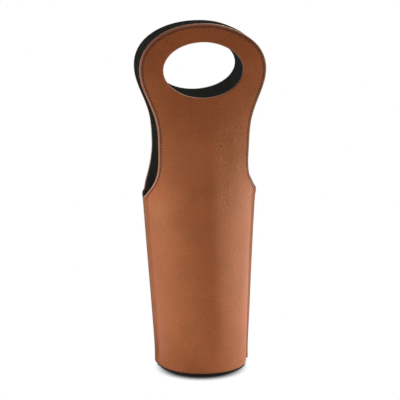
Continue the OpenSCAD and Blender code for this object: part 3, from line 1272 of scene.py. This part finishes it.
@dataclass(frozen=True)
class FibreBoard(Finish):
    """Bonded fibre board, seen where the laminate is cut and on the base's inside."""

    tone_a: Color = (0.17, 0.085, 0.055, 1)
    tone_b: Color = (0.11, 0.050, 0.032, 1)
    cloud_scale: float = 160.0
    fleck_scale: float = 1500.0
    fibre_scale: float = 3000.0
    fibre_depth: float = 0.0001
    # Height of the fibres, and the roughness that it turns into
    rough: Ramp = (0.2, 0.8, 0.70, 0.95)

    def material(self, effects: SharedEffects) -> bpy.types.Material:
        """Build the material from the shared mottle, with a fibrous relief.

        Args:
            effects: Shared node groups.

        Returns:
            The material.
        """
        material, sh = self.start(Specular_IOR_Level=0.2)
        place = sh.object_place()
        scales = {"Cloud_Scale": self.cloud_scale, "Fleck_Scale": self.fleck_scale, "Fleck_Share": 0.5}
        mottle = sh.group(effects.mottle, Vector=place, Tone_A=self.tone_a, Tone_B=self.tone_b, **scales)
        fibres = sh.noise(place, self.fibre_scale, detail=3.0, rough=0.7)
        normal = sh.bump(fibres, strength=0.5, distance=self.fibre_depth)
        sh.dress(mottle.outputs["Color"], sh.ramp(fibres, *self.rough), normal)
        return material


@dataclass(frozen=True)
class SuedeLining(Finish):
    """Black brushed lining with faint upright streaks where the nap lies either way."""

    tone_a: Color = (0.0125, 0.0125, 0.0110, 1)
    tone_b: Color = (0.0260, 0.0255, 0.0225, 1)
    # Streaks: their scale across and up, how much of the mottle they let in, and their part in the nap
    streaks: Point = (520.0, 26.0, 1.0)
    streak_ramp: Ramp = (0.3, 0.7, 0.0, 0.75)
    streak_share: float = 0.6
    cloud_scale: float = 60.0
    fleck_scale: float = 1800.0
    nap_scale: float = 2600.0
    nap_depth: float = 0.00012
    # Height of the nap, and the roughness that it turns into
    rough: Ramp = (0.2, 0.8, 0.78, 0.98)

    def material(self, effects: SharedEffects) -> bpy.types.Material:
        """Build the material: streaks stretched along the panel's height over a fine nap.

        Args:
            effects: Shared node groups.

        Returns:
            The material.
        """
        material, sh = self.start(Specular_IOR_Level=0.18, Sheen_Weight=0.12, Sheen_Roughness=0.5)
        uv = sh.pattern_place()
        drawn = sh.node("Mapping", {"Vector": uv, "Scale": self.streaks}).outputs[0]
        streak = sh.noise(drawn, 1.0, detail=2.0, rough=0.6)
        scales = {"Cloud_Scale": self.cloud_scale, "Fleck_Scale": self.fleck_scale, "Fleck_Share": 0.45}
        mottle = sh.group(effects.mottle, Vector=uv, Tone_A=self.tone_a, Tone_B=self.tone_b, **scales)
        colour = sh.mix(sh.ramp(streak, *self.streak_ramp), self.tone_a, mottle.outputs["Color"])
        nap = sh.noise(uv, self.nap_scale, detail=3.0, rough=0.7)
        relief = sh.line(streak, self.streak_share, nap)
        normal = sh.bump(relief, strength=0.6, distance=self.nap_depth)
        sh.dress(colour, sh.ramp(nap, *self.rough), normal)
        return material


@dataclass(frozen=True)
class Thread(Finish):
    """Sewing thread with a slanting twist."""

    light: Color = (0.100, 0.022, 0.008, 1)
    dark: Color = (0.045, 0.009, 0.003, 1)
    # Turns of the twist along a stitch and round it, the span of its wave, and its relief
    twists: float = 5.0
    slants: float = 2.0
    ply_span: Span = (-1.0, 0.6)
    ply_depth: float = 0.00008
    # Fuzz: its scale, how dark it makes the thread, and the roughness that it turns into
    fuzz_scale: float = 4000.0
    fuzz_ramp: Ramp = (0.4, 0.8, 0.0, 0.35)
    rough: Ramp = (0.2, 0.8, 0.36, 0.58)

    def material(self) -> bpy.types.Material:
        """Build the material: a wave that slants across the thread's own map, over a faint fuzz.

        Returns:
            The material.
        """
        material, sh = self.start(Specular_IOR_Level=0.4)
        along, around, _ = sh.parts(sh.pattern_place())
        slant = sh.line(along, self.twists, sh.times(around, self.slants))
        ply = sh.ramp(sh.math("SINE", sh.times(slant, 2 * math.pi)), *self.ply_span)
        fuzz = sh.noise(sh.object_place(), self.fuzz_scale, detail=2.0, rough=0.6)
        colour = sh.mix(ply, self.dark, self.light)
        colour = sh.mix(sh.ramp(fuzz, *self.fuzz_ramp), colour, self.dark)
        normal = sh.bump(ply, strength=0.7, distance=self.ply_depth)
        sh.dress(colour, sh.ramp(fuzz, *self.rough), normal)
        return material


@dataclass(frozen=True)
class BlackCover(Finish):
    """Black grained cover of the sole, scuffed along its lower edge."""

    tone_a: Color = (0.0110, 0.0050, 0.0038, 1)
    tone_b: Color = (0.0180, 0.0090, 0.0070, 1)
    scuffed: Color = (0.050, 0.036, 0.030, 1)
    # Scuffs: the height below which they lie, and the scale and ramp of their patches
    scuff_h: float = 0.0009
    scuff_scale: float = 240.0
    scuff_ramp: Ramp = (0.48, 0.68, 0.0, 0.7)
    # Depth of the grain, roughness in its valleys, and how much smoother its tops are
    grain_depth: float = 0.0001
    rough: float = 0.68
    tops_smoother: float = 0.15

    def material(self, effects: SharedEffects) -> bpy.types.Material:
        """Build the material on Object coordinates, with scuffs in the lowest millimetre.

        Args:
            effects: Shared node groups.

        Returns:
            The material.
        """
        material, sh = self.start(Specular_IOR_Level=0.15)
        place = sh.object_place()
        mottle = sh.group(effects.mottle, Vector=place, Tone_A=self.tone_a, Tone_B=self.tone_b)
        grain = sh.group(effects.pebble, Vector=place).outputs["Height"]
        patchy = sh.ramp(sh.noise(place, self.scuff_scale, detail=3.0, rough=0.6), *self.scuff_ramp)
        scuffs = sh.times(sh.fall(sh.parts(place)[2], 0.0, self.scuff_h), patchy)
        colour = sh.mix(scuffs, mottle.outputs["Color"], self.scuffed)
        normal = sh.bump(grain, strength=0.6, distance=self.grain_depth)
        sh.dress(colour, sh.line(grain, -self.tops_smoother, self.rough), normal)
        return material


@dataclass(frozen=True)
class Palette:
    """All the finishes of the carrier, as built materials."""

    leatherette: bpy.types.Material
    cut_edge: bpy.types.Material
    lining: bpy.types.Material
    thread: bpy.types.Material
    dark_thread: bpy.types.Material
    cover: bpy.types.Material
    board: bpy.types.Material

    @classmethod
    def mixed(cls, pattern: PanelPattern) -> "Palette":
        """Build every finish once.

        Args:
            pattern: Pattern that knows where the stitches run.

        Returns:
            The palette.
        """
        effects = SharedEffects()
        black = {"light": (0.020, 0.019, 0.018, 1), "dark": (0.008, 0.008, 0.008, 1)}
        grey = {"tone_a": (0.22, 0.18, 0.14, 1), "tone_b": (0.15, 0.12, 0.09, 1)}
        return cls(
            leatherette=Leatherette("brown_leatherette").material(effects, pattern),
            cut_edge=FibreBoard("cut_edge").material(effects),
            lining=SuedeLining("suede_lining").material(effects),
            thread=Thread("brown_thread").material(),
            dark_thread=Thread("black_thread", **black).material(),
            cover=BlackCover("black_cover").material(effects),
            board=FibreBoard("grey_board", **grey).material(effects),
        )


@dataclass(frozen=True)
class StitchRow:
    """Row of single stitches, each a short thread whose ends dive into its holes."""

    # Share of the pitch that a stitch spans, the thread's radius, and how deep its ends dive
    share: float = 0.58
    thread_r: float = 0.00038
    dive: float = 0.00045
    # Least share of a stitch's whole section, at its ends
    least_share: float = 0.02
    # Height at which a second point shows which way is up
    probe: float = 0.001
    # Rings of points along a stitch, and points round it
    rings: int = 7
    sides: int = 6

    def build(
        self, name: str, pattern: PanelPattern, from_z: float, place: Placer, lift: float
    ) -> bpy.types.Object:
        """Make all the stitches of a row as one piece.

        A stitch follows the row's line between two needle holes. Its height above the surface is an
        arch, one less a fourth power of the place along it, and its radius shrinks to its ends.

        Args:
            name: Name of the piece.
            pattern: Pattern that knows the row's line.
            from_z: Height at which the row starts on both sides.
            place: Function from flat points and heights above the surface to points in space.
            lift: Height of a stitch's middle above the surface.

        Returns:
            The piece.
        """
        line, counts = pattern.seam_line()
        middle = np.arange(round(counts[-1])) + 0.5
        middle = middle[np.interp(middle, counts, line[:, 1]) > from_z]
        t = np.linspace(-1, 1, self.rings)
        at = (middle[:, None] + t[None, :] * self.share / 2).ravel()
        right = sample(line, counts, at).reshape(-1, self.rings, 2)
        flat = np.concatenate([right, (right * MIRROR)[:, ::-1]])
        count = len(flat)
        arch = np.tile(lift - self.dive * t**4, count)
        centre = place(flat.reshape(-1, 2), arch).reshape(count, self.rings, 3)
        normal = place(flat.reshape(-1, 2), arch + self.probe).reshape(count, self.rings, 3) - centre
        tangent = np.gradient(centre, axis=1)
        binormal = np.cross(tangent, normal)
        normal = np.cross(binormal, tangent)
        binormal /= np.linalg.norm(binormal, axis=2, keepdims=True)
        normal /= np.linalg.norm(normal, axis=2, keepdims=True)
        angle = np.arange(self.sides) * 2 * math.pi / self.sides
        radius = self.thread_r * np.sqrt(np.maximum(1 - t**6, self.least_share))
        ring = binormal[:, :, None] * np.cos(angle)[:, None] + normal[:, :, None] * np.sin(angle)[:, None]
        points = centre[:, :, None, :] + ring * radius[None, :, None, None]
        per = self.rings * self.sides
        # Two quads close the six sides at each end
        caps = np.array([[0, 3, 2, 1], [0, 5, 4, 3]])
        one = [grid_quads(self.rings, self.sides, wrap=True), caps, caps[:, ::-1] + per - self.sides]
        faces = (np.concatenate(one)[None] + per * np.arange(count)[:, None, None]).reshape(-1, 4)
        turn, reach = np.meshgrid(angle / (2 * math.pi), (t + 1) / 2)
        uv = np.tile(np.stack([reach.ravel(), turn.ravel()], axis=1), (count, 1))
        return build_piece(name, points.reshape(-1, 3), faces, uv, sharp=80.0)


@dataclass
class Panel:
    """One keyhole panel: skin, stiffener, lining and the stitches along its edge."""

    side: Side
    pattern: PanelPattern
    laminate: Laminate
    bow: Bow
    # Heights between which a point changes from the tube's motion to the handle's, and how far from
    # the carrier's middle plane the line between them stands
    bend_from: float = 0.236
    bend_to: float = 0.292
    bend_y: float = 0.03
    # Distances above the hem and the seam at which the outer and inner rows of stitches start
    outer_start: float = 0.005
    inner_start: float = 0.008
    # How far the stitches' middles stand off the skin and the lining, and how deep they sink on the fins
    outer_lift: float = 0.00016
    inner_lift: float = 0.00012
    fin_sink: float = 0.0004

    def ride(self, piece: bpy.types.Object) -> None:
        """Bake the piece's placement into its mesh."""
        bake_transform(piece)

    def build(self, palette: Palette) -> list[bpy.types.Object]:
        """Make and dress every piece of the panel.

        Args:
            palette: The finishes.

        Returns:
            The pieces.
        """
        grid = self.pattern.grid()
        looks = {Layer.SKIN: palette.leatherette, Layer.CORE: palette.cut_edge, Layer.LINING: palette.lining}
        pieces = []
        for layer, look in looks.items():
            inner, outer = self.laminate.faces(layer, grid, self.pattern.stitch_in)
            name = f"{self.side.value}_{layer.label}"
            low = self.bow.place(grid.points, inner, self.side)
            high = self.bow.place(grid.points, outer, self.side)
            piece = closed_layer(name, grid, low, high, self.side is Side.BACK)
            piece.data.materials.append(look)
            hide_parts(f"{name}_lower", f"{name}_upper")
            self.ride(piece)
            pieces.append(piece)
        return pieces + self.sew(palette)

    def sew(self, palette: Palette) -> list[bpy.types.Object]:
        """Make the stitches on the skin, round the whole outline, and those on the lining.

        Args:
            palette: The finishes.

        Returns:
            The outer and the inner row.
        """
        laminate, row = self.laminate, StitchRow()

        def on_skin(flat: np.ndarray, lift: np.ndarray) -> np.ndarray:
            """Place points above the bottom of the skin's groove."""
            depth = laminate.groove(flat[:, 1], 0.0) + self.fin_sink * (1 - laminate.free(flat[:, 1]))
            return self.bow.place(flat, laminate.wall - depth + lift, self.side)

        def on_lining(flat: np.ndarray, lift: np.ndarray) -> np.ndarray:
            """Place points beyond the lining's inner face."""
            return self.bow.place(flat, laminate.groove_depth * laminate.lining_share - lift, self.side)

        low, high = self.pattern.hem_z + self.outer_start, self.pattern.seam_h + self.inner_start
        name = f"{self.side.value}_top_stitches"
        outside = row.build(name, self.pattern, low, on_skin, self.outer_lift)
        outside.data.materials.append(palette.thread)
        name = f"{self.side.value}_inner_stitches"
        inside = row.build(name, self.pattern, high, on_lining, self.inner_lift)
        inside.data.materials.append(palette.dark_thread)
        for piece, layer in ((outside, Layer.SKIN), (inside, Layer.LINING)):
            self.ride(piece)
        return [outside, inside]


@dataclass(frozen=True)
class RoundBase:
    """Round base: a covered sole with an upright rim inside the tube, a board and a lining."""

    sole_r: float = 0.0500
    rim_r: float = 0.0485
    rim_t: float = 0.001
    foot_h: float = 0.002
    round_h: float = 0.016
    board_r: float = 0.0458
    board_top: float = 0.0045
    floor_t: float = 0.0008
    # Radius of the sole's lower edge, and that of its upper edge as a share of it
    edge_r: float = 0.0007
    upper_edge_share: float = 0.6
    # Rings of points on the flat parts of the sole, below and inside, as shares of its radius
    below_shares: Span = (0.4, 0.8)
    inside_share: float = 0.6
    # The same on the lining, below and above, with shares of its thickness by which it rises above
    flat_share: float = 0.5
    crown_shares: tuple[Span, ...] = ((0.75, 0.25), (0.4, 0.4), (0.0, 0.45))
    # Points round a turned piece, and the distance within which its points are welded
    steps: int = 192
    weld: float = 1e-7

    def lathe(self, name: str, profile: np.ndarray) -> bpy.types.Object:
        """Turn a profile round the Z axis.

        Args:
            name: Name of the piece.
            profile: Pairs of radius and height, from the axis below, outwards and back to the axis.

        Returns:
            The piece, its poles merged and its faces turned outwards.
        """
        angle = np.arange(self.steps) * 2 * math.pi / self.steps
        radius, height = profile[:, :1], profile[:, 1:]
        x, y = radius * np.cos(angle)[None], radius * np.sin(angle)[None]
        points = np.stack([x, y, np.broadcast_to(height, x.shape)], axis=-1).reshape(-1, 3)
        quads = grid_quads(len(profile), self.steps, wrap=True)
        piece = build_piece(name, points, quads, points[:, :2], sharp=40.0)
        mesh = bmesh.new()
        mesh.from_mesh(piece.data)
        bmesh.ops.remove_doubles(mesh, verts=mesh.verts, dist=self.weld)
        bmesh.ops.recalc_face_normals(mesh, faces=mesh.faces)
        mesh.to_mesh(piece.data)
        mesh.free()
        return piece

    @staticmethod
    def rounded(r: float, z: float, radius: float, start: float, end: float, count: int = 6) -> np.ndarray:
        """Arc of a profile round the point r, z, between two angles in degrees."""
        a = np.radians(np.linspace(start, end, count))
        return np.stack([r + radius * np.cos(a), z + radius * np.sin(a)], axis=1)

    def cover_profile(self) -> np.ndarray:
        """Sole with rounded edges, and the rim that stands up from it inside the tube.

        Returns:
            Pairs of radius and height.
        """
        r, edge, foot, rim, wall = self.sole_r, self.edge_r, self.foot_h, self.rim_r, self.rim_t
        upper, half_up, top = edge * self.upper_edge_share, self.round_h / 2, self.round_h - wall / 2
        return np.concatenate(
            [
                [(0, 0), *((r * share, 0) for share in self.below_shares)],
                self.rounded(r - edge, edge, edge, -90, 0),
                self.rounded(r - upper, foot - upper, upper, 0, 90),
                [(rim + upper, foot), (rim, foot + upper), (rim, half_up)],
                self.rounded(rim - wall / 2, top, wall / 2, 0, 180, count=9),
                [(rim - wall, half_up), (rim - wall, foot), (r * self.inside_share, foot), (0, foot)],
            ]
        )

    def lining_profile(self) -> np.ndarray:
        """Cloth disc with a round edge that rises a little to its middle.

        Returns:
            Pairs of radius and height.
        """
        top, t, r = self.board_top, self.floor_t, self.board_r
        return np.concatenate(
            [
                [(0, top), (r * self.flat_share, top), (r - t / 2, top)],
                self.rounded(r - t / 2, top + t / 2, t / 2, -90, 90, count=7),
                [(r * share, top + t * (1 + rise)) for share, rise in self.crown_shares],
            ]
        )

    def build(self, palette: Palette) -> list[bpy.types.Object]:
        """Make and dress the base's pieces.

        Args:
            palette: The finishes.

        Returns:
            The new pieces and the board that is kept.
        """
        cover = self.lathe("sole_cover", self.cover_profile())
        cover.data.materials.append(palette.cover)
        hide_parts("base_cover")
        floor = self.lathe("floor_lining", self.lining_profile())
        floor.data.materials.append(palette.lining)
        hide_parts("base_lining")
        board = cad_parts["base_board"]
        board.data.materials.clear()
        board.data.materials.append(palette.board)
        for piece in (cover, floor):
            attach(piece, "pouch")
        return [cover, floor, board]


@dataclass(frozen=True)
class Softbox:
    """Rectangular soft light that looks at the carrier's middle, or at another point.

    Its azimuth in degrees is zero in front of the carrier and grows to the right.
    """

    name: str
    azimuth: float
    elevation: float
    watts: float
    distance: float = 1.8
    size: tuple[float, float] = (0.8, 0.9)
    aim: Point = (0, 0, 0.2)

    def build(self) -> None:
        """Add the light, with its place worked out from its angles."""
        data = bpy.data.lights.new(self.name, "AREA")
        data.shape, data.size, data.size_y, data.energy = "RECTANGLE", *self.size, self.watts
        turn, climb = math.radians(self.azimuth), math.radians(self.elevation)
        level = math.cos(climb)
        away = Vector((math.sin(turn) * level, -math.cos(turn) * level, math.sin(climb)))
        lamp = bpy.data.objects.new(self.name, data)
        lamp.location = Vector(self.aim) + away * self.distance
        lamp.rotation_euler = (-away).to_track_quat("-Z", "Y").to_euler()
        bpy.context.scene.collection.objects.link(lamp)


@dataclass(frozen=True)
class Studio:
    """Camera, soft lights and a white surround."""

    camera_at: Point = (-0.4594, -2.2910, 0.7433)
    target: Point = (-0.0019, 0.0002, 0.1944)
    field_of_view: float = math.radians(10.903)
    clip_end: float = 50.0
    ambient: float = 0.04
    # Name, azimuth, elevation and watts of each light
    lights: tuple[Softbox, ...] = (
        Softbox("low_front_softbox", -30, 6, 0.5, distance=0.5, size=(0.35, 0.12), aim=(0, 0, 0.04)),
        Softbox("low_right_softbox", 66, 3, 0.13, distance=0.3, size=(0.20, 0.10), aim=(0, 0, 0.035)),
        Softbox("left_softbox", -72, 8, 15),
        Softbox("left_rear_softbox", -100, 10, 23),
        Softbox("right_softbox", 72, 8, 19),
        Softbox("right_rear_softbox", 100, 10, 13),
        Softbox("high_rear_softbox", 120, 50, 49),
        Softbox("top_softbox", 180, 85, 2),
    )
    # Floor: its size, the scale of its grain and its two whites
    floor_size: float = 8.0
    floor_grain: float = 900.0
    floor_a: Color = (0.80, 0.80, 0.80, 1)
    floor_b: Color = (0.84, 0.84, 0.84, 1)
    # Painted contact shade: how near a surface has to be, and the span of openness over which it fades
    contact_reach: float = 0.006
    contact_span: Span = (0.26, 0.57)
    # Patch at the sole where a shadow is painted onto the floor: middle, radii and brightness inside
    shade_at: Point = (-0.004, -0.017, 0)
    shade_span: Span = (0.038, 0.0555)
    shade_level: float = 0.02

    def build(self) -> None:
        """Set up the camera, the lights, the world and the floor."""
        self.place_camera()
        for light in self.lights:
            light.build()
        self.surround()
        self.floor()
        bpy.context.scene.view_settings.view_transform = "Standard"

    def place_camera(self) -> None:
        """Aim the camera at its target, upright."""
        data = bpy.data.cameras.new("camera")
        data.sensor_fit = "HORIZONTAL"
        data.angle = self.field_of_view
        data.clip_end = self.clip_end
        camera = bpy.data.objects.new("camera", data)
        camera.location = self.camera_at
        aim = Vector(self.target) - Vector(self.camera_at)
        camera.rotation_euler = aim.to_track_quat("-Z", "Y").to_euler()
        bpy.context.scene.collection.objects.link(camera)
        bpy.context.scene.camera = camera

    def surround(self) -> None:
        """World that is white to the camera and at a plain level for everything else."""
        world = bpy.data.worlds.new("surround")
        bpy.context.scene.world = world
        world.use_nodes = True
        sh = Shader(world.node_tree)
        ray = sh.node("LightPath").outputs
        seen = sh.math("MAXIMUM", ray["Is Camera Ray"], ray["Is Transmission Ray"])
        back = world.node_tree.nodes["Background"]
        back.inputs["Color"].default_value = WHITE
        sh.feed(back.inputs["Strength"], sh.between(seen, self.ambient, 1.0))

    def floor(self) -> None:
        """White floor: to the camera it glows white, with a painted shadow near the carrier and evenly white
        further off; other rays see it lit by the lamps.
        """
        half = self.floor_size / 2
        corners = np.array([(-half, -half, 0), (half, -half, 0), (half, half, 0), (-half, half, 0)])
        floor = build_piece("floor", corners, np.array([[0, 1, 2, 3]]), corners[:, :2])
        material, sh = Finish("white_floor").start(Roughness=0.9, Specular_IOR_Level=0.0)
        shader = sh.tree.nodes["Principled BSDF"]
        grain = sh.noise(sh.object_place(), self.floor_grain)
        sh.feed(shader.inputs["Base Color"], sh.mix(grain, self.floor_a, self.floor_b))
        # Painted shade: the camera sees the floor darker where surfaces are near and inside a patch at the
        # sole
        near = sh.node("AmbientOcclusion", {"Distance": self.contact_reach}, samples=8)
        painted_contact_shade = sh.ramp(near.outputs["AO"], *self.contact_span)
        reach = sh.node("VectorMath", {0: sh.object_place(), 1: self.shade_at}, operation="DISTANCE")
        away = sh.ramp(reach.outputs["Value"], *self.shade_span, self.shade_level, 1.0)
        glow_with_painted_shade = sh.node("Emission", {"Color": WHITE, "Strength": sh.times(painted_contact_shade, away)})
        ray = sh.node("LightPath").outputs["Is Camera Ray"]
        both = sh.node("MixShader", {0: ray, 1: shader.outputs[0], 2: glow_with_painted_shade.outputs[0]})
        sh.feed(sh.tree.nodes["Material Output"].inputs["Surface"], both.outputs[0])
        floor.data.materials.append(material)


def main() -> None:
    """Build the carrier's sub-assemblies in order and report each piece."""
    logging.basicConfig(level=logging.INFO, format="%(name)s: %(message)s")
    front, back = PanelPattern(armhole_power=3.4), PanelPattern(armhole_power=1.9)
    laminate = Laminate()
    palette = Palette.mixed(back)
    front_bow = Bow(front, bow_power=1.8, top_depth=0.0110, left_drift=0.001, right_drift=0.0045)
    back_bow = Bow(back, bow_power=1.2, top_depth=0.0135, left_drift=0.008, right_drift=0.0065)
    pieces = Panel(Side.FRONT, front, laminate, front_bow).build(palette)
    pieces += Panel(Side.BACK, back, laminate, back_bow).build(palette)
    pieces += RoundBase().build(palette)
    for piece in pieces:
        LOG.info("%s: %d faces", piece.name, len(piece.data.polygons))
    Studio().build()


if __name__ == "__main__":
    main()
